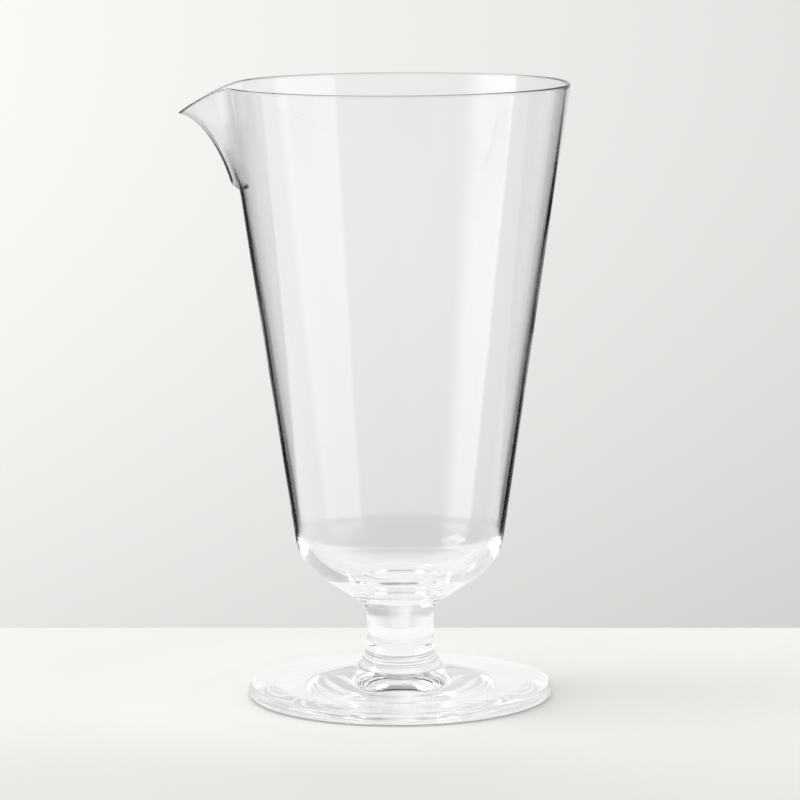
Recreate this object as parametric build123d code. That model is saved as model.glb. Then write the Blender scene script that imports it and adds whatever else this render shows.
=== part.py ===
from build123d import *
from build123d.topology import SkipClean
import math
import os

# A footed cocktail pitcher of clear blown glass, in millimetres.
# +Z is up, z = 0 is the table, the Z axis is the axis of the pitcher,
# and the pouring lip points along -X.

# Overall
pitcher_height = 229.0     # table to the top of the rim
rim_radius = 64.0          # outside of the rim

# Foot: a low domed disc with a rounded edge and a hollow underside
foot_radius = 57.0         # outside of the rounded edge
foot_edge = 4.6            # thickness of the rounded edge
rest_width = 9.0           # flat ring that stands on the table
foot_hollow = 1.8          # depth of the hollow underside at its centre
dome_radius = 34.0         # where the foot's top turns up towards the stem
dome_rise = 2.1            # height gained from the edge to that turn
collar_rise = 4.0          # height gained from that turn to the stem's seat
dome_round = 34.0          # radius that softens that turn

# Stem: a short solid neck
stem_foot_radius = 17.0    # flared lower end, seated on the foot
stem_waist = 12.5          # radius at its narrowest
stem_head_radius = 13.4    # upper end, under the bowl
stem_length = 23.9         # seat to seat
waist_height = 14.0        # height of the narrowest place above the lower seat
flare_slope = 0.9          # rise over run where the flare meets the foot
head_slope = 2.9           # rise over run where the stem meets the bowl

# Bowl: a straight tapered wall on a round shoulder, with a thick floor
shoulder_radius = 37.6     # where the lines of the wall and the underside cross
shoulder_height = 16.0     # height of that crossing above the stem
shoulder_round = 22.0      # radius of the rounded shoulder outside
shoulder_lift = 1.8        # how much higher the same crossing lies inside
wall_at_rim = 1.8          # wall thickness at the rim
wall_at_shoulder = 3.6     # wall thickness at the shoulder
floor_thickness = 6.0      # glass between the stem and the hollow of the bowl
floor_radius = 16.5        # flat middle of the bowl's floor inside
floor_round = 5.0          # radius that blends the floor into the underside's slope

# Pulled pouring lip
lip_height = 39.0          # rim to the crease at the lip's lower end
lip_half_angle = 30.0      # half of the turn that the lip disturbs
lip_spread = 27.0          # half width of the lip
lip_reach = 16.9           # how far the tip stands out beyond the rim
lip_drop = 9.9             # how far the pull bends the tip down
rim_sag = 0.4              # broad dip of the rim towards the lip
lip_crease = 3.0           # step at the lip's lower end
crease_height = 3.2        # height over which that step rises
crease_spread = 12.0       # half width of that step
inner_narrowing = 1.0      # how much narrower the pull is inside, which keeps the flanks thick
reach_power = 1.5          # how the reach grows with height above the crease
drop_power = 3.5           # how the drop grows with that height
drop_narrowing = 1.3       # how much narrower than the reach the drop is across the lip

# Heights and radii that follow from the sizes above
rest_outer = foot_radius - foot_edge / 2
rest_inner = rest_outer - rest_width
foot_top = foot_edge + dome_rise + collar_rise
stem_top = foot_top + stem_length
floor_height = stem_top + floor_thickness
corner_height = stem_top + shoulder_height
rim_round = wall_at_rim / 2
rim_start = pitcher_height - rim_round
lip_base = rim_start - lip_height

# How the lip is sampled: shares of its height, and even slices of its turn
height_steps = [0, 0.04, 0.08, 0.13, 0.2, 0.35, 0.5, 0.65, 0.8, 0.9, 1]
lip_slices = 40


def outer_radius(height):
    """Outside of the straight wall at a height."""
    share = (height - corner_height) / (rim_start - corner_height)
    return shoulder_radius + (rim_radius - shoulder_radius) * share


def inner_radius(height):
    """Inside of the straight wall, which thickens from the rim to the shoulder."""
    share = (height - corner_height) / (rim_start - corner_height)
    wall = wall_at_shoulder + (wall_at_rim - wall_at_shoulder) * share
    return outer_radius(height) - wall


def turned(profile, turn=360.0):
    """Solid made by turning a profile of (radius, height) about the Z axis."""
    return revolve(Plane.XZ * profile, axis=Axis.Z, revolution_arc=turn)


def rounded(profile, corner, radius):
    """Profile with one corner rounded."""
    return fillet(profile.vertices().sort_by_distance(corner)[0], radius)


def joined(first, second, tolerance=1e-4):
    """Two solids that meet face to face, as one.

    Their faces stay as turned or lofted, because cones merged round the lip mesh badly.
    """
    with SkipClean():
        return first.fuse(second, glue=True, tol=tolerance)


def make_foot():
    """Disc with a rounded edge, a top that rises to the stem, and a hollow underside."""
    edge_middle = foot_edge / 2
    hollow_radius = (rest_inner**2 + foot_hollow**2) / (2 * foot_hollow)
    outline = [
        Polyline((0, foot_hollow), (0, foot_top), (stem_foot_radius, foot_top)),
        Line((stem_foot_radius, foot_top), (dome_radius, foot_edge + dome_rise)),
        Line((dome_radius, foot_edge + dome_rise), (rest_outer, foot_edge)),
        ThreePointArc((rest_outer, foot_edge), (foot_radius, edge_middle), (rest_outer, 0)),
        Line((rest_outer, 0), (rest_inner, 0)),
        RadiusArc((rest_inner, 0), (0, foot_hollow), -hollow_radius),
    ]
    profile = make_face(outline)
    profile = rounded(profile, (dome_radius, foot_edge + dome_rise), dome_round)
    return turned(profile)


def make_stem():
    """Solid neck: flared where it sits on the foot, slightly waisted above."""
    side = Spline(
        (stem_foot_radius, foot_top),
        (stem_waist, foot_top + waist_height),
        (stem_head_radius, stem_top),
        tangents=[(-1, flare_slope), (0, 1), (1, head_slope)],
    )
    outline = [
        side,
        Polyline((stem_head_radius, stem_top), (0, stem_top), (0, foot_top), (stem_foot_radius, foot_top)),
    ]
    return turned(make_face(outline))


def bell(across, width):
    """One at the middle of the lip, falling smoothly to nothing at a width."""
    share = min(1.0, across / width)
    return (1 - share**2) ** 3


def lip_section(turn):
    """Radial section of the wall through the lip, at an angle in degrees from its middle.

    The straight wall moves outwards by the reach and down by the drop, by powers of the
    height above the crease, times a bell across the lip that ends within the lofted turn.
    The crease is a short step under a narrower bell, and it dies away towards the rim.
    The inside takes the same pull through narrower bells.
    All sections share their splines' parameters, so that the lofted faces stay light.
    """
    window = (1 - (turn / lip_half_angle) ** 2) ** 2
    sides = []
    for radius_at, narrower in ((outer_radius, 0.0), (inner_radius, inner_narrowing)):
        points = []
        for share in height_steps:
            height = lip_base + share * lip_height
            radius = radius_at(height)
            across = abs(radius * math.sin(math.radians(turn)))
            edge = radius * math.sin(math.radians(lip_half_angle))
            pull = bell(across, min(lip_spread, edge) - narrower)
            step = min(1.0, share * lip_height / crease_height)
            crease = bell(across, crease_spread - narrower) * lip_crease * step * step * (3 - 2 * step)
            out = pull * lip_reach * share**reach_power + crease * (1 - share)
            down = pull**drop_narrowing * lip_drop * share**drop_power + window * rim_sag * share
            points.append(Vector(radius + out, height - down))
        sides.append(points)
    outside, inside = sides
    along = (outside[-1] - outside[-2]).normalized() + (inside[-1] - inside[-2]).normalized()
    crown = (outside[-1] + inside[-1]) / 2 + along.normalized() * rim_round
    outline = [
        Edge.make_spline(outside, parameters=height_steps),
        ThreePointArc(outside[-1], crown, inside[-1]),
        Edge.make_spline(inside, parameters=height_steps),
        Line(inside[0], outside[0]),
    ]
    heading = math.radians(180 + turn)
    radial = Plane(
        origin=(0, 0, 0),
        x_dir=(math.cos(heading), math.sin(heading), 0),
        z_dir=(math.sin(heading), -math.cos(heading), 0),
    )
    return radial * make_face(outline)


def make_bowl():
    """Lower bowl and plain wall turned about the axis, joined to the lofted lip."""
    inner_corner_height = corner_height + shoulder_lift
    corner = (shoulder_radius, corner_height)
    inner_corner = (inner_radius(inner_corner_height), inner_corner_height)
    floor_corner = (floor_radius, floor_height)
    lower = make_face(
        Polyline(
            (0, stem_top),
            (stem_head_radius, stem_top),
            corner,
            (outer_radius(lip_base), lip_base),
            (inner_radius(lip_base), lip_base),
            inner_corner,
            floor_corner,
            (0, floor_height),
            close=True,
        )
    )
    lower = rounded(lower, corner, shoulder_round)
    lower = rounded(lower, inner_corner, shoulder_round - wall_at_shoulder)
    lower = rounded(lower, floor_corner, floor_round)

    rim_outside = (rim_radius, rim_start)
    rim_inside = (rim_radius - wall_at_rim, rim_start)
    plain = [
        Line((outer_radius(lip_base), lip_base), rim_outside),
        ThreePointArc(rim_outside, (rim_radius - rim_round, pitcher_height), rim_inside),
        Polyline(rim_inside, (inner_radius(lip_base), lip_base), (outer_radius(lip_base), lip_base)),
    ]
    wall = turned(make_face(plain), 360 - 2 * lip_half_angle).rotate(Axis.Z, 180 + lip_half_angle)

    slice_turn = 2 * lip_half_angle / lip_slices
    lip = loft([lip_section(slice_turn * step - lip_half_angle) for step in range(lip_slices + 1)])
    return joined(turned(lower), joined(wall, lip))


os.makedirs("parts", exist_ok=True)
pieces = {"foot": make_foot(), "stem": make_stem(), "bowl": make_bowl()}
for name, piece in pieces.items():
    export_step(piece, f"parts/{name}.step")
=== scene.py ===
import math

import bpy
import numpy as np
from bpy.props import FloatProperty, FloatVectorProperty, PointerProperty
from bpy.types import Operator, Panel, PropertyGroup
from mathutils import Matrix, Vector


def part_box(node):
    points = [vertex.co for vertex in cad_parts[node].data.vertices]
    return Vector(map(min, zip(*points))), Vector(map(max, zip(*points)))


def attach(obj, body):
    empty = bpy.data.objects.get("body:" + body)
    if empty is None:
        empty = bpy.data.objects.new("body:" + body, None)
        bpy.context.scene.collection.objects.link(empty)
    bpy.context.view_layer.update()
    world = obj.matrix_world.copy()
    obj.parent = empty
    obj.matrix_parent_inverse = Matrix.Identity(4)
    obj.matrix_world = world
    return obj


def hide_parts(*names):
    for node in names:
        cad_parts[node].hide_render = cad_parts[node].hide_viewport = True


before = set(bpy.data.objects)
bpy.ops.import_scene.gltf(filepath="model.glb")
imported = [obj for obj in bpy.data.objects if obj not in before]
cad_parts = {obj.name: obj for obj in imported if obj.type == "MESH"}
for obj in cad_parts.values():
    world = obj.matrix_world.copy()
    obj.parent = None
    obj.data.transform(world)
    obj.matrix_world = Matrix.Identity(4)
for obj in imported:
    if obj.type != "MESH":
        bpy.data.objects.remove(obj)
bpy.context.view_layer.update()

bl_info = {
    "name": "Footed Cocktail Pitcher",
    "version": (1, 0, 0),
    "blender": (4, 5, 0),
    "location": "3D View > Sidebar > Pitcher",
    "description": "Builds the bowl, stem and foot of a clear glass pitcher, and its stage",
    "category": "Add Mesh",
}

# Heights of the seats and the rim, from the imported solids
FOOT_TOP = round(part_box("stem")[0][2], 5)
STEM_TOP = round(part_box("stem")[1][2], 5)
RIM_TOP = round(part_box("bowl")[1][2], 5)

# Headings in degrees, clockwise from straight behind the pitcher: where each dark card starts
# to show, is full, starts to fade and is gone
CARDS = (
    (-126.0, -124.0, -105.0, -102.0),
    (-78.0, -76.0, -46.0, -45.0),
    (-48.0, -45.0, -14.0, -9.0),
    (9.0, 14.0, 45.0, 48.0),
    (99.0, 101.0, 120.0, 123.0),
    (156.0, 158.0, 178.0, 180.0),
)
CARD_DARKNESS = 0.98

# Dim parts of the room that only glass shows: how dim each is, and the ramps that multiply it.
# A ramp has the angle that it follows, the degrees where it starts and ends, and the shares
# there. Rise is above the horizon, and aside is to either side of straight behind the pitcher.
DIM_PARTS = (
    # Ends of the wall
    (0.22, ("aside", 7.0, 17.0, 0.0, 1.0), ("aside", 28.0, 45.0, 1.0, 0.4), ("rise", 12.0, 28.0, 1.0, 0.0)),
    # Band over the wall
    (0.3, ("rise", 16.0, 18.0, 0.0, 1.0), ("rise", 24.0, 28.0, 1.0, 0.0),
     ("aside", 8.0, 16.0, 0.2, 1.0), ("aside", 20.0, 35.0, 1.0, 0.0)),
    # Sides
    (0.05, ("aside", 40.0, 60.0, 0.0, 1.0), ("aside", 80.0, 110.0, 1.0, 2.5), ("rise", 1.0, 3.0, 0.0, 1.0)),
    # Room behind the camera
    (0.43, ("aside", 105.0, 130.0, 0.0, 1.0), ("rise", 11.0, 17.0, 0.0, 1.0)),
    # Ceiling
    (0.3, ("rise", 55.0, 65.0, 0.0, 1.0)),
)

# Edges that turn by more than this stay sharp
SHARP_TURN = math.radians(28.0)

# How high the waves stand in the solid stem and foot, as a share of those in the blown bowl
SOLID_RIPPLE = 0.6


def length(name, description, default):
    """A length in metres."""
    return FloatProperty(name=name, description=description, default=default, min=0.0, precision=5,
                         unit="LENGTH")


def number(name, description, default):
    """A plain number."""
    return FloatProperty(name=name, description=description, default=default, precision=3)


def watts(name, description, default):
    """The power of a lamp."""
    return FloatProperty(name=name, description=description, default=default, min=0.0, unit="POWER")


def angle(name, description, degrees):
    """An angle, given in degrees and kept in radians."""
    return FloatProperty(name=name, description=description, default=math.radians(degrees),
                         subtype="ANGLE")


def colour(name, description, default):
    """A linear colour."""
    return FloatVectorProperty(name=name, description=description, default=default, size=3, min=0.0,
                               max=1.0, subtype="COLOR")


class PitcherBowlSizes(PropertyGroup):
    """Sizes of the tapered bowl, whose wall is thinner here than in the solid."""
    rim_radius: length("Rim radius", "Outside of the rim", 0.064)
    seat_radius: length("Seat radius", "Underside that sits on the stem", 0.0134)
    shoulder_radius: length("Shoulder radius", "Where the lines of wall and underside cross", 0.0376)
    shoulder_height: length("Shoulder height", "Height of that crossing above the stem", 0.016)
    shoulder_round: length("Shoulder round", "Radius of the rounded shoulder outside", 0.022)
    shoulder_lift: length("Shoulder lift", "How much higher the same crossing lies inside", 0.0034)
    wall_at_rim: length("Wall at rim", "Thickness of the wall at the rim", 0.0013)
    wall_at_shoulder: length("Wall at shoulder", "Thickness of the wall at the shoulder", 0.0017)
    floor_thickness: length("Floor thickness", "Glass between the stem and the hollow", 0.006)
    floor_radius: length("Floor radius", "Flat middle of the floor inside", 0.0165)
    floor_round: length("Floor round", "Radius that blends the floor into the slope", 0.005)


class PitcherLipSizes(PropertyGroup):
    """Sizes of the pulled pouring lip."""
    lip_height: length("Lip height", "Rim to the crease at the lip's lower end", 0.039)
    half_angle: angle("Half angle", "Half of the turn that the lip disturbs", 30.0)
    spread: length("Spread", "Half width of the lip", 0.027)
    reach: length("Reach", "How far the tip stands out beyond the rim", 0.0169)
    drop: length("Drop", "How far the pull bends the tip down", 0.0099)
    sag: length("Sag", "Broad dip of the rim towards the lip", 0.0004)
    crease: length("Crease", "Step at the lip's lower end", 0.003)
    crease_height: length("Crease height", "Height over which that step rises", 0.0032)
    crease_spread: length("Crease spread", "Half width of that step", 0.012)
    narrowing: length("Inner narrowing", "How much narrower the pull is inside", 0.001)
    reach_power: number("Reach power", "How the reach grows with height above the crease", 1.5)
    drop_power: number("Drop power", "How the drop grows with that height", 3.5)
    drop_narrowing: number("Drop narrowing", "How much narrower than the reach the drop is", 1.3)


class PitcherStemSizes(PropertyGroup):
    """Sizes of the short solid stem."""
    flare_radius: length("Flare radius", "Lower end, seated on the foot", 0.017)
    waist_radius: length("Waist radius", "Radius at the narrowest place", 0.0125)
    head_radius: length("Head radius", "Upper end, under the bowl", 0.0134)
    waist_height: length("Waist height", "Height of the narrowest place above the seat", 0.014)
    flare_slope: number("Flare slope", "Rise over run where the flare meets the foot", 0.9)
    head_slope: number("Head slope", "Rise over run where the stem meets the bowl", 2.9)


class PitcherFootSizes(PropertyGroup):
    """Sizes of the low domed foot."""
    foot_radius: length("Foot radius", "Outside of the rounded edge", 0.057)
    seat_radius: length("Seat radius", "Top that carries the stem", 0.017)
    edge: length("Edge", "Thickness of the rounded edge", 0.0046)
    rest_width: length("Rest width", "Flat ring that stands on the table", 0.009)
    hollow: length("Hollow", "Depth of the hollow underside at its centre", 0.0018)
    dome_radius: length("Dome radius", "Where the top turns up towards the stem", 0.034)
    dome_rise: length("Dome rise", "Height gained from the edge to that turn", 0.0021)
    dome_round: length("Dome round", "Radius that softens that turn", 0.034)


class PitcherGlassFinish(PropertyGroup):
    """Look of the blown glass."""
    clear_tint: colour("Clear tint", "Colour of thin glass", (0.998, 0.9995, 0.999))
    thick_tint: colour("Thick tint", "Colour of thick glass", (0.989, 0.995, 0.992))
    bend: number("Index of refraction", "How strongly the glass bends light", 1.5)
    ripple_size: length("Ripple size", "Distance between the waves that blowing leaves", 0.03)
    ripple_height: length("Ripple height", "Height of those waves", 0.00012)
    haze: number("Haze", "Most roughness that handling leaves", 0.02)


class PitcherStageLook(PropertyGroup):
    """Table, surroundings and lamps."""
    view_turn: angle("View turn", "Turn of the whole stage about the axis, seen from above", 4.3)
    table_colour: colour("Table colour", "Colour of the painted table", (0.83, 0.825, 0.812))
    wall_colour: colour("Wall colour", "Hue of the pale wall", (1.0, 1.0, 0.975))
    lamp_colour: colour("Lamp colour", "Hue of the softboxes", (0.95, 0.975, 1.0))
    table_back: length("Table back", "How far behind the axis the table ends", 0.126)
    table_reach: length("Table reach", "How far the table goes the other ways", 4.0)
    table_gap: length("Table gap", "Air between the table and the foot", 0.0003)
    table_in_glass: number("Table in glass", "Light of the table where glass shows it", 1.06)
    reflector_height: length("Reflector height", "Height of the low card behind the table", 0.025)
    reflector_light: number("Reflector light", "Light of that card in the glass", 1.14)
    soft_light: number("Soft light", "Light from all round on the table", 0.87)
    key_power: watts("Key power", "Softbox at the left", 8.0)
    fill_power: watts("Fill power", "Softbox at the right", 5.0)
    # Painted pool of light round the foot, in place of light that the glass throws there
    painted_gathered_light: number("Gathered light", "Light that the glass throws round the foot", 0.1)
    top_power: watts("Top power", "High lamp at the left", 4.5)


class PitcherSettings(PropertyGroup):
    """All that can be set on the pitcher and its stage."""
    bowl: PointerProperty(type=PitcherBowlSizes)
    lip: PointerProperty(type=PitcherLipSizes)
    stem: PointerProperty(type=PitcherStemSizes)
    foot: PointerProperty(type=PitcherFootSizes)
    glass: PointerProperty(type=PitcherGlassFinish)
    stage: PointerProperty(type=PitcherStageLook)


# Profiles are arrays of (radius, height). Grids are arrays of rows by columns by (x, y, z).
# The last argument of each run is its number of points.


def straight(start, end, count):
    """Points at even steps on the straight line from start to end, both included."""
    share = np.linspace(0.0, 1.0, count)[:, None]
    return (1.0 - share) * np.asarray(start) + share * np.asarray(end)


def rounding(before, corner, after, radius, count):
    """Circular arc that rounds a corner.

    It touches both legs at radius / tan(half the corner's angle) from the corner, and its
    centre lies on the bisector at radius / sin(half that angle).
    """
    before, corner, after = (np.asarray(point, float) for point in (before, corner, after))
    leg_in = (before - corner) / np.linalg.norm(before - corner)
    leg_out = (after - corner) / np.linalg.norm(after - corner)
    half = np.arccos(np.clip(leg_in @ leg_out, -1.0, 1.0)) / 2
    bisector = (leg_in + leg_out) / np.linalg.norm(leg_in + leg_out)
    centre = corner + bisector * radius / np.sin(half)
    first = corner + leg_in * radius / np.tan(half) - centre
    last = corner + leg_out * radius / np.tan(half) - centre
    start = np.arctan2(first[1], first[0])
    sweep = np.arctan2(first[0] * last[1] - first[1] * last[0], first @ last)
    turns = start + sweep * np.linspace(0.0, 1.0, count)
    return centre + radius * np.stack([np.cos(turns), np.sin(turns)], axis=1)


def chained(*runs):
    """Runs of points joined end to end, with each shared end kept once."""
    return np.concatenate([runs[0]] + [run[1:] for run in runs[1:]])


def smooth_run(start, end, slope_start, slope_end, count):
    """Cubic from start to end whose directions at its ends are given.

    The two directions are stretched to the distance between the ends, and the four
    Hermite weights of the share along it mix them with the end points.
    """
    start, end = np.asarray(start, float), np.asarray(end, float)
    reach = np.linalg.norm(end - start)
    leave = np.asarray(slope_start, float) / np.linalg.norm(slope_start) * reach
    arrive = np.asarray(slope_end, float) / np.linalg.norm(slope_end) * reach
    s = np.linspace(0.0, 1.0, count)[:, None]
    return ((2 * s**3 - 3 * s**2 + 1) * start + (s**3 - 2 * s**2 + s) * leave
            + (3 * s**2 - 2 * s**3) * end + (s**3 - s**2) * arrive)


def carried_round(profile, headings):
    """Profile carried round the axis: x = radius cos h, y = radius sin h, z = height.

    The profile is (rows, 2), or (rows, columns, 2) where it changes with the heading.
    """
    radius, height = profile[..., 0], profile[..., 1]
    if profile.ndim == 2:
        radius, height = radius[:, None], height[:, None]
    radius, height, headings = np.broadcast_arrays(radius, height, headings[None, :])
    return np.stack([radius * np.cos(headings), radius * np.sin(headings), height], axis=-1)


def closed_skin(name, grid, first_pole, last_pole, seat_first, seat_last):
    """Mesh of a grid that closes round the axis and ends in a pole at each end.

    Rows run from the underside up the outside, so that quads of (row, column), (row, next),
    (next row, next), (next row, column) and the two fans of triangles all face outwards.
    Fans marked as seats take the second material.
    """
    rows, columns = grid.shape[:2]
    points = np.concatenate([grid.reshape(-1, 3), [first_pole, last_pole]])
    index = np.arange(rows * columns).reshape(rows, columns)
    beside = np.roll(index, -1, axis=1)
    quads = np.stack([index[:-1], beside[:-1], beside[1:], index[1:]], axis=-1).reshape(-1, 4)
    low, high = np.full(columns, rows * columns), np.full(columns, rows * columns + 1)
    first_fan = np.stack([low, beside[0], index[0]], axis=-1)
    last_fan = np.stack([high, index[-1], beside[-1]], axis=-1)
    corners = np.concatenate([quads.ravel(), first_fan.ravel(), last_fan.ravel()])
    sizes = np.concatenate([np.full(len(quads), 4), np.full(2 * columns, 3)])
    starts = np.concatenate([[0], np.cumsum(sizes)[:-1]])
    materials = np.zeros(len(sizes), np.int32)
    materials[len(quads):len(quads) + columns] = int(seat_first)
    materials[len(quads) + columns:] = int(seat_last)

    mesh = bpy.data.meshes.new(name)
    mesh.vertices.add(len(points))
    mesh.vertices.foreach_set("co", points.astype(np.float32).ravel())
    mesh.loops.add(len(corners))
    mesh.loops.foreach_set("vertex_index", corners.astype(np.int32))
    mesh.polygons.add(len(sizes))
    mesh.polygons.foreach_set("loop_start", starts.astype(np.int32))
    mesh.polygons.foreach_set("material_index", materials)
    mesh.update(calc_edges=True)
    if mesh.validate():
        raise RuntimeError(f"{name}: the mesh had faults")
    mesh.shade_smooth()
    mesh.set_sharp_from_angle(angle=SHARP_TURN)
    return mesh


def even_headings(columns):
    """Headings at even steps round the axis."""
    return np.linspace(-np.pi, np.pi, columns, endpoint=False)


def bowl_grid(bowl, lip, columns=384):
    """Bowl from the rim of its seat, up the outside, over the rim and down to the floor.

    Headings lie closer together at the lip: turn = t - closeness sin t, with t in even steps.
    Below the lip both sides are turned profiles. Above its crease each point of the plain
    wall moves out and down by pulled_wall, and half an ellipse closes the rim between them.
    """
    closeness, wall_points, round_points, floor_points = 0.85, 32, 20, 10
    even = even_headings(columns)
    turn = even - closeness * np.sin(even)
    rim_round = bowl.wall_at_rim / 2
    rim_start = RIM_TOP - rim_round
    lip_base = rim_start - lip.lip_height
    corner_height = STEM_TOP + bowl.shoulder_height
    floor_height = STEM_TOP + bowl.floor_thickness

    def wall_radius(height, inside):
        """Plain wall: radius grows evenly with height, and the thickness shrinks evenly."""
        share = (height - corner_height) / (rim_start - corner_height)
        outside = bowl.shoulder_radius + (bowl.rim_radius - bowl.shoulder_radius) * share
        thickness = bowl.wall_at_shoulder + (bowl.wall_at_rim - bowl.wall_at_shoulder) * share
        return outside - inside * thickness

    def bell(across, width):
        """(1 - (distance from the lip's middle / width)^2)^3, and nothing beyond that width."""
        return (1.0 - np.minimum(1.0, across / width) ** 2) ** 3

    def pulled_wall(share, inside):
        """Wall through the lip at shares of its height, as (rows, columns, 2).

        Out: a bell across the lip times a power of the share, plus a step under a narrower
        bell that dies away upwards. Down: a steeper power of the first bell and of the share,
        plus a broad sag of the rim. The bells are narrower inside.
        """
        share = share[:, None]
        height = lip_base + share * lip.lip_height
        radius = wall_radius(height, inside)
        window = np.clip(1.0 - (turn / lip.half_angle) ** 2, 0.0, None) ** 2
        edge = radius * np.sin(lip.half_angle)
        across = np.where(np.abs(turn) < lip.half_angle, np.abs(radius * np.sin(turn)), edge)
        pull = bell(across, np.minimum(lip.spread, edge) - inside * lip.narrowing)
        step = np.minimum(1.0, share * lip.lip_height / lip.crease_height)
        crease = bell(across, lip.crease_spread - inside * lip.narrowing) * lip.crease
        crease = crease * step**2 * (3.0 - 2.0 * step)
        out = pull * lip.reach * share**lip.reach_power + crease * (1.0 - share)
        down = pull**lip.drop_narrowing * lip.drop * share**lip.drop_power + window * lip.sag * share
        return np.stack([radius + out, height - down], axis=-1)

    def whole_turn(profile):
        """Turned profile as (rows, columns, 2)."""
        return np.repeat(profile[:, None, :], columns, axis=1)

    corner = (bowl.shoulder_radius, corner_height)
    seat = (bowl.seat_radius, STEM_TOP)
    foot_of_lip = (wall_radius(lip_base, 0.0), lip_base)
    shoulder = rounding(seat, corner, foot_of_lip, bowl.shoulder_round, round_points)
    outside = chained(straight(seat, shoulder[0], 8), shoulder,
                      straight(shoulder[-1], foot_of_lip, wall_points))

    inner_height = corner_height + bowl.shoulder_lift
    inner_corner = (wall_radius(inner_height, 1.0), inner_height)
    floor_corner = (bowl.floor_radius, floor_height)
    inner_foot = (wall_radius(lip_base, 1.0), lip_base)
    inner_round = bowl.shoulder_round - bowl.wall_at_shoulder
    bend = rounding(inner_foot, inner_corner, floor_corner, inner_round, round_points)
    dish = rounding(inner_corner, floor_corner, (0.0, floor_height), bowl.floor_round, floor_points)
    last_ring = (bowl.floor_radius / 9, floor_height)
    inside = chained(straight(inner_foot, bend[0], wall_points), bend, straight(bend[-1], dish[0], 6),
                     dish, straight(dish[-1], last_ring, 3))

    # Rows lie closer together at the crease
    crease_end = 0.1
    crease_shares, lip_shares = np.linspace(0.0, crease_end, 9), np.linspace(crease_end, 1.0, 38)
    shares = np.concatenate([crease_shares[1:], lip_shares[1:]])
    outer_pull, inner_pull = pulled_wall(shares, 0.0), pulled_wall(shares, 1.0)
    along = outer_pull[-1] - outer_pull[-2] + inner_pull[-1] - inner_pull[-2]
    along = along / np.linalg.norm(along, axis=-1, keepdims=True)
    middle, half = (outer_pull[-1] + inner_pull[-1]) / 2, (outer_pull[-1] - inner_pull[-1]) / 2
    bow = np.linspace(0.0, np.pi, 13)[1:-1, None, None]
    rim = middle + half * np.cos(bow) + along * rim_round * np.sin(bow)

    profile = np.concatenate([whole_turn(outside), outer_pull, rim, inner_pull[::-1], whole_turn(inside)])
    return carried_round(profile, np.pi + turn), floor_height


def stem_grid(stem, columns=192):
    """Stem: two smooth runs, flare to waist and waist to head, turned about the axis."""
    waist = (stem.waist_radius, FOOT_TOP + stem.waist_height)
    lower = smooth_run((stem.flare_radius, FOOT_TOP), waist, (-1.0, stem.flare_slope), (0.0, 1.0), 28)
    upper = smooth_run(waist, (stem.head_radius, STEM_TOP), (0.0, 1.0), (1.0, stem.head_slope), 20)
    return carried_round(chained(lower, upper), even_headings(columns))


def foot_grid(foot, columns=256):
    """Foot from the hollow underside, over the rounded edge and up the dome to its seat.

    The hollow is part of a sphere through its depth and the rest ring, the edge half a
    circle, and the dome two straight slopes with a rounded turn between them.
    """
    edge_round = foot.edge / 2
    rest_outer = foot.foot_radius - edge_round
    rest_inner = rest_outer - foot.rest_width
    sphere = (rest_inner**2 + foot.hollow**2) / (2.0 * foot.hollow)
    first_ring = 0.02
    reach = np.linspace(first_ring, 1.0, 24) * rest_inner
    hollow = np.stack([reach, foot.hollow - sphere + np.sqrt(sphere**2 - reach**2)], axis=1)
    bow = np.linspace(-np.pi / 2, np.pi / 2, 25)
    edge = np.stack([rest_outer + edge_round * np.cos(bow), edge_round + edge_round * np.sin(bow)], axis=1)
    turn = (foot.dome_radius, foot.edge + foot.dome_rise)
    seat = (foot.seat_radius, FOOT_TOP)
    dome = rounding((rest_outer, foot.edge), turn, seat, foot.dome_round, 16)
    rest = straight(hollow[-1], edge[0], 8)
    slope = straight(edge[-1], dome[0], 14)
    rise = straight(dome[-1], seat, 10)
    profile = chained(hollow, rest, edge, slope, dome, rise)
    return carried_round(profile, even_headings(columns))


# Nodes: a value that is a socket is linked, and any other is set on the input.


def feed(tree, value, socket):
    """Link or set one input."""
    if isinstance(value, bpy.types.NodeSocket):
        tree.links.new(value, socket)
    else:
        socket.default_value = value


def maths(tree, operation, *values, clamp=False):
    """Math node's result."""
    made = tree.nodes.new("ShaderNodeMath")
    made.operation = operation
    made.use_clamp = clamp
    for value, socket in zip(values, made.inputs):
        feed(tree, value, socket)
    return made.outputs[0]


def product(tree, first, *others):
    """Product of values."""
    for other in others:
        first = maths(tree, "MULTIPLY", first, other)
    return first


def less(tree, dark):
    """What a share of darkness leaves."""
    return maths(tree, "SUBTRACT", 1.0, dark)


def spread(tree, value, low, high, to_low, to_high, smooth=True):
    """Value carried from one range to another, held at its ends."""
    made = tree.nodes.new("ShaderNodeMapRange")
    made.interpolation_type = "SMOOTHSTEP" if smooth else "LINEAR"
    for name, given in (("Value", value), ("From Min", low), ("From Max", high), ("To Min", to_low),
                        ("To Max", to_high)):
        feed(tree, given, made.inputs[name])
    return made.outputs["Result"]


def noise(tree, vector, scale, detail):
    """Value of a noise texture."""
    made = tree.nodes.new("ShaderNodeTexNoise")
    for name, given in (("Vector", vector), ("Scale", scale), ("Detail", detail)):
        feed(tree, given, made.inputs[name])
    return made.outputs["Fac"]


def mixed(tree, share, first, second):
    """Colour between two colours."""
    made = tree.nodes.new("ShaderNodeMix")
    made.data_type = "RGBA"
    for socket, given in zip((made.inputs[0], made.inputs[6], made.inputs[7]), (share, first, second)):
        feed(tree, given, socket)
    return made.outputs[2]


def parts_of(tree, vector):
    """X, Y and Z of a vector."""
    made = tree.nodes.new("ShaderNodeSeparateXYZ")
    feed(tree, vector, made.inputs[0])
    return made.outputs


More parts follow.
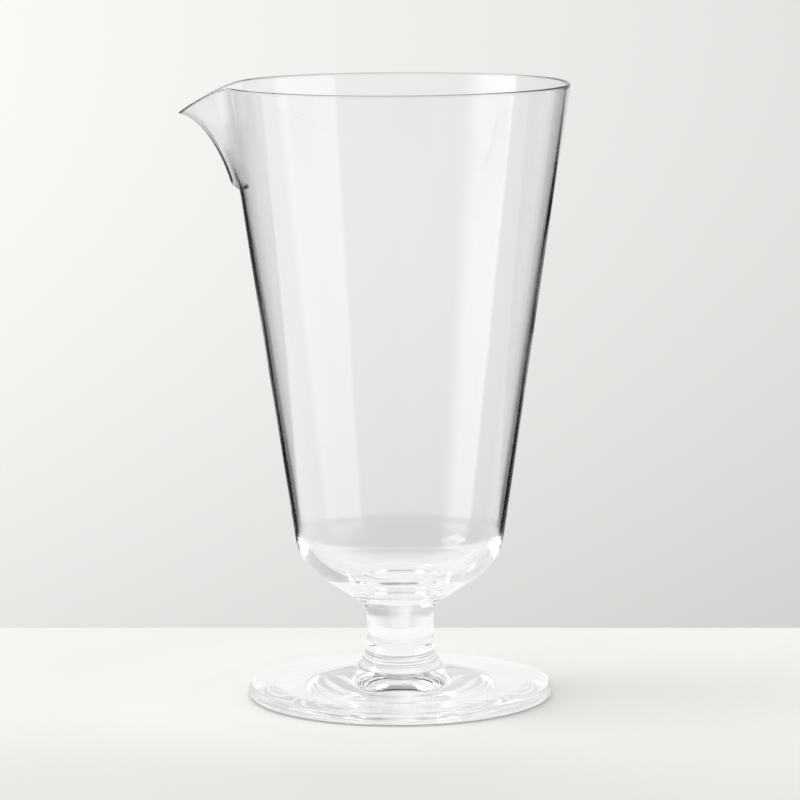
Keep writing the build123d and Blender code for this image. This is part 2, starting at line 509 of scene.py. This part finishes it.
def new_group(name, inputs, outputs):
    """Empty shader node group with named sockets."""
    tree = bpy.data.node_groups.new(name, "ShaderNodeTree")
    for socket, kind in inputs:
        tree.interface.new_socket(socket, in_out="INPUT", socket_type=kind)
    for socket, kind in outputs:
        tree.interface.new_socket(socket, in_out="OUTPUT", socket_type=kind)
    return tree, tree.nodes.new("NodeGroupInput"), tree.nodes.new("NodeGroupOutput")


def blown_ripple_group():
    """Waves, haze and depth of colour that blowing, handling and thickness leave in the glass."""
    if "Blown ripple" in bpy.data.node_groups:
        return bpy.data.node_groups["Blown ripple"]
    upright_share, wave_detail, smears_per_metre, smear_detail = 0.4, 1.5, 60.0, 4.0
    thick_below, thin_above = 0.03, 0.2
    floats = "NodeSocketFloat"
    taken = [("Position", "NodeSocketVector"), ("Waves per metre", floats)]
    given_out = [("Height", floats), ("Haze", floats), ("Depth", floats)]
    tree, given, made = new_group("Blown ripple", taken, given_out)
    stretch = tree.nodes.new("ShaderNodeVectorMath")
    stretch.operation = "MULTIPLY"
    stretch.inputs[1].default_value = (1.0, 1.0, upright_share)
    tree.links.new(given.outputs["Position"], stretch.inputs[0])
    waves = noise(tree, stretch.outputs[0], given.outputs["Waves per metre"], wave_detail)
    smears = noise(tree, given.outputs["Position"], smears_per_metre, smear_detail)
    height = parts_of(tree, given.outputs["Position"])["Z"]
    low = spread(tree, height, thick_below, thin_above, 0.7, 0.0)
    depth = maths(tree, "MULTIPLY_ADD", smears, 0.3, low, clamp=True)
    tree.links.new(waves, made.inputs["Height"])
    tree.links.new(spread(tree, smears, 0.45, 0.75, 0.0, 1.0), made.inputs["Haze"])
    tree.links.new(depth, made.inputs["Depth"])
    return tree


def dark_card_group():
    """Compass heading of a vector on the turned stage, and the mask of the dark cards round it.

    Each card is the product of a rising and a falling smooth step of the heading, and the
    largest of them is the mask.
    """
    if "Dark cards" in bpy.data.node_groups:
        return bpy.data.node_groups["Dark cards"]
    floats = "NodeSocketFloat"
    taken = [("Vector", "NodeSocketVector"), ("Turn", floats)]
    tree, given, made = new_group("Dark cards", taken, [("Heading", floats), ("Card", floats)])
    x, y, _ = parts_of(tree, given.outputs["Vector"])
    heading = maths(tree, "ADD", maths(tree, "ARCTAN2", x, y), given.outputs["Turn"])
    mask = 0.0
    for card in CARDS:
        shows, full, fades, gone = (math.radians(edge) for edge in card)
        rising = spread(tree, heading, shows, full, 0.0, 1.0)
        falling = spread(tree, heading, fades, gone, 1.0, 0.0)
        mask = maths(tree, "MAXIMUM", mask, product(tree, rising, falling))
    tree.links.new(heading, made.inputs["Heading"])
    tree.links.new(mask, made.inputs["Card"])
    return tree


def placed_group(tree, group, **links):
    """Group node with its inputs fed by name."""
    made = tree.nodes.new("ShaderNodeGroup")
    made.node_tree = group
    for name, value in links.items():
        feed(tree, value, made.inputs[name.replace("_", " ")])
    return made.outputs


def glass_material(name, finish, ripple_share):
    """Clear blown glass: tint deeper where it is thick, faint waves, a little haze."""
    material = bpy.data.materials.new(name)
    material.use_nodes = True
    tree = material.node_tree
    shader = tree.nodes["Principled BSDF"]
    position = tree.nodes.new("ShaderNodeTexCoord").outputs["Object"]
    waves = 1.0 / finish.ripple_size
    ripple = placed_group(tree, blown_ripple_group(), Position=position, Waves_per_metre=waves)
    tint = mixed(tree, ripple["Depth"], (*finish.clear_tint, 1.0), (*finish.thick_tint, 1.0))
    bump = tree.nodes.new("ShaderNodeBump")
    bump.inputs["Distance"].default_value = finish.ripple_height * ripple_share
    tree.links.new(ripple["Height"], bump.inputs["Height"])
    tree.links.new(tint, shader.inputs["Base Color"])
    roughness = spread(tree, ripple["Haze"], 0.0, 1.0, 0.0, finish.haze, smooth=False)
    tree.links.new(roughness, shader.inputs["Roughness"])
    tree.links.new(bump.outputs["Normal"], shader.inputs["Normal"])
    shader.inputs["Transmission Weight"].default_value = 1.0
    shader.inputs["IOR"].default_value = finish.bend
    return material


def fused_seat_material():
    """Faces where two gathers of hot glass are fused, which light passes as if they weren't there."""
    if "fused_seat" in bpy.data.materials:
        return bpy.data.materials["fused_seat"]
    material = bpy.data.materials.new("fused_seat")
    material.use_nodes = True
    tree = material.node_tree
    tree.nodes.remove(tree.nodes["Principled BSDF"])
    clear = tree.nodes.new("ShaderNodeBsdfTransparent")
    tree.links.new(clear.outputs[0], tree.nodes["Material Output"].inputs["Surface"])
    return material


def stand_in(name, mesh, node, material):
    """Object at the origin that shows instead of a node of the frame."""
    piece = bpy.data.objects.new(name, mesh)
    bpy.context.collection.objects.link(piece)
    mesh.materials.append(material)
    mesh.materials.append(fused_seat_material())
    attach(piece, "root")
    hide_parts(node)


class PITCHER_OT_bowl(Operator):
    """Make the tapered bowl with its pulled lip"""
    bl_idname = "pitcher.bowl"
    bl_label = "Bowl"

    def execute(self, context):
        settings = context.scene.pitcher
        grid, floor_height = bowl_grid(settings.bowl, settings.lip)
        mesh = closed_skin("bowl_glass", grid, (0.0, 0.0, STEM_TOP), (0.0, 0.0, floor_height), True, False)
        stand_in("bowl_glass", mesh, "bowl", glass_material("bowl_glass", settings.glass, 1.0))
        return {"FINISHED"}


class PITCHER_OT_stem(Operator):
    """Make the short solid stem"""
    bl_idname = "pitcher.stem"
    bl_label = "Stem"

    def execute(self, context):
        settings = context.scene.pitcher
        grid = stem_grid(settings.stem)
        mesh = closed_skin("stem_glass", grid, (0.0, 0.0, FOOT_TOP), (0.0, 0.0, STEM_TOP), True, True)
        stand_in("stem_glass", mesh, "stem", glass_material("stem_glass", settings.glass, SOLID_RIPPLE))
        return {"FINISHED"}


class PITCHER_OT_foot(Operator):
    """Make the low domed foot"""
    bl_idname = "pitcher.foot"
    bl_label = "Foot"

    def execute(self, context):
        settings = context.scene.pitcher
        foot = settings.foot
        grid = foot_grid(foot)
        mesh = closed_skin("foot_glass", grid, (0.0, 0.0, foot.hollow), (0.0, 0.0, FOOT_TOP), False, True)
        stand_in("foot_glass", mesh, "foot", glass_material("foot_glass", settings.glass, SOLID_RIPPLE))
        return {"FINISHED"}


def stage_turn(look):
    """Turn of the stage about the pitcher's axis."""
    return Matrix.Rotation(look.view_turn, 4, "Z")


def seen_rays(tree):
    """Masks of the rays that show the stage: straight to the camera, and by way of glass."""
    rays = tree.nodes.new("ShaderNodeLightPath").outputs
    glass = maths(tree, "MAXIMUM", rays["Is Glossy Ray"], rays["Is Transmission Ray"])
    return rays["Is Camera Ray"], glass


def table_material(look):
    """White painted table, a little uneven, with painted light and shade: lightest round the foot.

    The table's colour has painted light: lighter from the front towards the middle, darker at the
    back edge, at the left and far off. Round the foot lies a painted pool of light, in place of light
    that the glass gathers. Glass shows the table evenly lit, so that it isn't dull under the foot, but
    with painted shadow in front and at the right, where the pitcher's shadow falls, and with dark
    cards lying on it further off.
    """
    material = bpy.data.materials.new("table_paint")
    material.use_nodes = True
    tree = material.node_tree
    shader = tree.nodes["Principled BSDF"]
    position = tree.nodes.new("ShaderNodeTexCoord").outputs["Object"]
    clouds_per_metre, cloud_detail = 9.0, 5.0
    cloud = noise(tree, position, clouds_per_metre, cloud_detail)
    x, y, _ = parts_of(tree, position)
    away = tree.nodes.new("ShaderNodeVectorMath")
    away.operation = "LENGTH"
    tree.links.new(position, away.inputs[0])
    away = away.outputs["Value"]

    # Painted light and shade in the colour: lighter from the front towards the middle, a little darker at
    # the back edge, darker at the left and far off; the cloud adds random uneven tone
    from_front, to_back, from_left, far_off = (-0.17, -0.02), (0.03, 0.1), (-0.15, 0.15), (0.3, 0.8)
    lighter = product(
        tree,
        spread(tree, y, *from_front, 0.95, 1.1),
        spread(tree, x, *from_left, 0.965, 1.0, smooth=False),
        spread(tree, y, *to_back, 1.0, 0.98),
        spread(tree, away, *far_off, 1.0, 0.74),
        spread(tree, cloud, 0.0, 1.0, 0.975, 1.0, smooth=False),
    )
    paint_and_painted_light = tree.nodes.new("ShaderNodeVectorMath")
    paint_and_painted_light.operation = "SCALE"
    paint_and_painted_light.inputs[0].default_value = look.table_colour
    feed(tree, lighter, paint_and_painted_light.inputs["Scale"])
    paint_and_painted_light = paint_and_painted_light.outputs[0]

    past_foot, past_shadow, to_cards = (0.0565, 0.058), (0.12, 0.2), (0.5, 0.9)
    shadow_depth, shadow_slant = 0.24, -1.3
    camera, glass = seen_rays(tree)
    card = placed_group(tree, dark_card_group(), Vector=position, Turn=look.view_turn)["Card"]
    cards = product(tree, card, spread(tree, away, *to_cards, 0.0, CARD_DARKNESS))
    beyond = spread(tree, away, *past_foot, 0.0, 1.0)
    front_right = maths(tree, "MULTIPLY_ADD", y, shadow_slant, x)
    # Painted shadow: in the glass the table is darker beyond the foot, in front and at the right, fading
    # out further off
    shadow = product(
        tree,
        beyond,
        spread(tree, away, *past_shadow, shadow_depth, 0.0),
        spread(tree, front_right, -0.02, 0.03, 0.0, 1.0),
    )
    own_light = product(tree, glass, look.table_in_glass, less(tree, cards), less(tree, shadow))

    # Painted pool of light: seen straight on, the table glows in rings round the foot, weaker to the right
    close_by, further, to_right, right_share = (0.058, 0.078), (0.085, 0.14), (0.0, 0.06), 0.3
    near_ring, broad_ring = (spread(tree, away, *reach, 0.5, 0.0) for reach in (close_by, further))
    rings = maths(tree, "ADD", near_ring, broad_ring)
    weaker = spread(tree, x, *to_right, look.painted_gathered_light, right_share * look.painted_gathered_light)
    painted_glow = product(tree, rings, weaker, beyond, camera)
    tree.links.new(mixed(tree, glass, paint_and_painted_light, (0.0, 0.0, 0.0, 1.0)), shader.inputs["Base Color"])
    tree.links.new(paint_and_painted_light, shader.inputs["Emission Color"])
    tree.links.new(maths(tree, "ADD", own_light, painted_glow), shader.inputs["Emission Strength"])
    tree.links.new(spread(tree, cloud, 0.3, 0.7, 0.55, 0.7), shader.inputs["Roughness"])
    shader.inputs["Specular IOR Level"].default_value = 0.2
    return material


def reflector_material(look):
    """Low white card of the table's colour, a little faded at its middle and fading out upwards."""
    material = bpy.data.materials.new("reflector_card")
    material.use_nodes = True
    tree = material.node_tree
    tree.nodes.remove(tree.nodes["Principled BSDF"])
    x, _, z = parts_of(tree, tree.nodes.new("ShaderNodeTexCoord").outputs["Object"])
    white = tree.nodes.new("ShaderNodeEmission")
    white.inputs["Color"].default_value = (*look.table_colour, 1.0)
    white.inputs["Strength"].default_value = look.reflector_light
    choice = tree.nodes.new("ShaderNodeMixShader")
    half_width, middle_share, full_height = 0.09, 0.85, 0.008
    shown = product(
        tree,
        spread(tree, maths(tree, "ABSOLUTE", x), 0.0, half_width, middle_share, 1.0),
        spread(tree, z, full_height, look.reflector_height, 1.0, 0.0),
    )
    feed(tree, shown, choice.inputs[0])
    tree.links.new(tree.nodes.new("ShaderNodeBsdfTransparent").outputs[0], choice.inputs[1])
    tree.links.new(white.outputs[0], choice.inputs[2])
    tree.links.new(choice.outputs[0], tree.nodes["Material Output"].inputs["Surface"])
    return material


def stage_sheet(look, name, corners, material):
    """Flat four-cornered sheet of the stage."""
    mesh = bpy.data.meshes.new(name)
    mesh.from_pydata(corners, [], [(0, 1, 2, 3)])
    mesh.transform(stage_turn(look))
    mesh.materials.append(material)
    sheet = bpy.data.objects.new(name, mesh)
    bpy.context.collection.objects.link(sheet)
    return sheet


def make_table(look):
    """Flat table top, a hair under the foot, whose back edge runs level across the picture.

    A low white card stands along that edge and shows only in the glass.
    """
    back, far, skew, level = look.table_back, look.table_reach, 0.033, -look.table_gap
    left, right = (-far, back + skew * far), (far, back - skew * far)
    corners = [(-far, -far, level), (far, -far, level), (*right, level), (*left, level)]
    stage_sheet(look, "table_top", corners, table_material(look))
    top = look.reflector_height
    corners = [(*left, level), (*right, level), (*right, top), (*left, top)]
    reflector = stage_sheet(look, "reflector_card", corners, reflector_material(look))
    reflector.visible_camera = False
    reflector.visible_diffuse = False
    reflector.visible_shadow = False


def make_surroundings(look):
    """World: soft light on the table, a pale wall for the camera, and a darker room for the glass.

    The wall grows lighter upwards, by the square of the angle below its even part, and to the
    left, evenly with the heading, and it is dimmer at the sides. In the glass, strips of dark
    card stand between pale gaps a little below the horizon, the wall ends under a dim band, and
    the sides, the ceiling and the room behind the camera are dim.
    """
    world = bpy.data.worlds.new("surroundings")
    bpy.context.scene.world = world
    world.use_nodes = True
    tree = world.node_tree
    back = tree.nodes["Background"]
    direction = tree.nodes.new("ShaderNodeTexCoord").outputs["Generated"]
    rise = maths(tree, "ARCSINE", parts_of(tree, direction)["Z"])
    round_about = placed_group(tree, dark_card_group(), Vector=direction, Turn=look.view_turn)
    heading, card = round_about["Heading"], round_about["Card"]
    aside = maths(tree, "ABSOLUTE", heading)
    camera, glass = seen_rays(tree)

    def ramp(value, low, high, to_low, to_high, smooth=True):
        """Value carried from a range in degrees."""
        return spread(tree, value, math.radians(low), math.radians(high), to_low, to_high, smooth)

    even_light, fall_below, lowest, even_above = 0.864, 0.00203, -12.5, -3.0
    below = ramp(rise, lowest, even_above, even_above - lowest, 0.0, smooth=False)
    wall = product(
        tree,
        maths(tree, "MULTIPLY_ADD", product(tree, below, below), -fall_below, even_light),
        ramp(heading, -6.0, 6.0, 1.111, 0.889, smooth=False),
        ramp(aside, 20.0, 45.0, 1.0, 0.84),
    )

    # Cards reach up to just under the horizon, a little higher at the sides
    middle_top, side_top = math.radians(-7.4), math.radians(-4.5)
    card_top = ramp(aside, 40.0, 46.0, middle_top, side_top)
    cards = product(
        tree,
        card,
        ramp(maths(tree, "SUBTRACT", rise, card_top), -0.5, 0.5, CARD_DARKNESS, 0.0),
        ramp(rise, -20.0, -18.0, 0.0, 1.0),
    )
    angles = {"rise": rise, "aside": aside}
    bright = less(tree, product(tree, cards, glass))
    for dimness, *ramps in DIM_PARTS:
        dim = product(tree, dimness, glass, *(ramp(angles[follows], *ends) for follows, *ends in ramps))
        bright = product(tree, bright, less(tree, dim))

    strength = tree.nodes.new("ShaderNodeMix")
    feed(tree, maths(tree, "MAXIMUM", camera, glass), strength.inputs[0])
    feed(tree, look.soft_light, strength.inputs[2])
    feed(tree, product(tree, wall, bright), strength.inputs[3])
    back.inputs["Color"].default_value = (*look.wall_colour, 1.0)
    tree.links.new(strength.outputs[0], back.inputs["Strength"])


def make_softbox(look, name, heading, size, power, soft):
    """Softbox at a heading from the camera's side, aimed at the pitcher.

    Its light fades over given shares of its left end, its right end, and its foot and head, as
    smooth steps.
    """
    distance, height, aim_height = 1.3, 0.45, 0.12
    lamp = bpy.data.lights.new(name, "AREA")
    lamp.shape = "RECTANGLE"
    lamp.size, lamp.size_y = size
    lamp.energy = power
    lamp.color = look.lamp_colour
    lamp.use_nodes = True
    tree = lamp.node_tree
    along, up, _ = parts_of(tree, tree.nodes.new("ShaderNodeNewGeometry").outputs["Parametric"])
    fade = 1.0
    left, right, ends = soft
    for across, low, high in ((along, left, right), (up, ends, ends)):
        rising = spread(tree, across, 0.0, low, 0.0, 1.0)
        falling = spread(tree, across, 1.0 - high, 1.0, 1.0, 0.0)
        fade = product(tree, fade, rising, falling)
    tree.links.new(fade, tree.nodes["Emission"].inputs["Strength"])
    place = Vector((distance * math.sin(heading), -distance * math.cos(heading), height))
    aim = Vector((0.0, 0.0, aim_height)) - place
    softbox = bpy.data.objects.new(name, lamp)
    aimed = Matrix.Translation(place) @ aim.to_track_quat("-Z", "Y").to_matrix().to_4x4()
    softbox.matrix_world = stage_turn(look) @ aimed
    softbox.visible_camera = False
    bpy.context.collection.objects.link(softbox)


def make_top_lamp(look):
    """High square lamp at the left, which leaves the shadow beside the foot."""
    side, place = 0.6, Vector((-1.083, 0.191, 1.2))
    lamp = bpy.data.lights.new("top_lamp", "AREA")
    lamp.size = side
    lamp.energy = look.top_power
    aimed = Matrix.Translation(place) @ (-place).to_track_quat("-Z", "Y").to_matrix().to_4x4()
    top_lamp = bpy.data.objects.new("top_lamp", lamp)
    top_lamp.matrix_world = stage_turn(look) @ aimed
    top_lamp.visible_camera = False
    bpy.context.collection.objects.link(top_lamp)


def make_camera(look):
    """Camera where the picture was taken from, pitched down and very slightly rolled."""
    focal_length, degrees_down, degrees_rolled = 189.8, 8.231, -0.382
    lens = bpy.data.cameras.new("camera")
    lens.lens = focal_length
    lens.sensor_width = 36.0
    lens.clip_end = 50.0
    camera = bpy.data.objects.new("camera", lens)
    place = Matrix.Translation((0.000485, -1.5531, 0.3359))
    pitch = Matrix.Rotation(math.radians(90.0 - degrees_down), 4, "X")
    roll = Matrix.Rotation(math.radians(degrees_rolled), 4, "Z")
    camera.matrix_world = stage_turn(look) @ place @ pitch @ roll
    bpy.context.collection.objects.link(camera)
    bpy.context.scene.camera = camera


class PITCHER_OT_stage(Operator):
    """Make the table, the surroundings, the lamps and the camera"""
    bl_idname = "pitcher.stage"
    bl_label = "Stage"

    def execute(self, context):
        look = context.scene.pitcher.stage
        make_table(look)
        make_surroundings(look)
        make_softbox(look, "key_softbox", heading=math.radians(-70.0), size=(1.15, 1.1),
                     power=look.key_power, soft=(0.03, 0.5, 0.2))
        make_softbox(look, "fill_softbox", heading=math.radians(72.0), size=(1.38, 1.1),
                     power=look.fill_power, soft=(0.05, 0.2, 0.2))
        make_top_lamp(look)
        make_camera(look)
        scene = context.scene
        scene.view_settings.view_transform = "Standard"
        # Light turns many times in the thick shoulder before it leaves
        scene.cycles.max_bounces = 64
        scene.cycles.transmission_bounces = 48
        scene.cycles.glossy_bounces = 48
        scene.cycles.transparent_max_bounces = 24
        return {"FINISHED"}


OPERATORS = (PITCHER_OT_bowl, PITCHER_OT_stem, PITCHER_OT_foot, PITCHER_OT_stage)


class PITCHER_PT_panel(Panel):
    """Pieces of the pitcher and their sizes"""
    bl_idname = "PITCHER_PT_panel"
    bl_label = "Cocktail pitcher"
    bl_space_type = "VIEW_3D"
    bl_region_type = "UI"
    bl_category = "Pitcher"

    def draw(self, context):
        settings = context.scene.pitcher
        for group in ("bowl", "lip", "stem", "foot", "glass", "stage"):
            box = self.layout.box()
            box.label(text=group.capitalize())
            for name in type(getattr(settings, group)).__annotations__:
                box.prop(getattr(settings, group), name)
        for operator in OPERATORS:
            self.layout.operator(operator.bl_idname)


CLASSES = (PitcherBowlSizes, PitcherLipSizes, PitcherStemSizes, PitcherFootSizes, PitcherGlassFinish,
           PitcherStageLook, PitcherSettings, *OPERATORS, PITCHER_PT_panel)


def register():
    """Add the settings, operators and panel to Blender."""
    for each in CLASSES:
        bpy.utils.register_class(each)
    bpy.types.Scene.pitcher = PointerProperty(type=PitcherSettings)


def unregister():
    """Take them out again."""
    del bpy.types.Scene.pitcher
    for each in reversed(CLASSES):
        bpy.utils.unregister_class(each)


def main():
    """Make the pitcher and its stage."""
    register()
    bpy.ops.pitcher.bowl()
    bpy.ops.pitcher.stem()
    bpy.ops.pitcher.foot()
    bpy.ops.pitcher.stage()


if __name__ == "__main__":
    main()
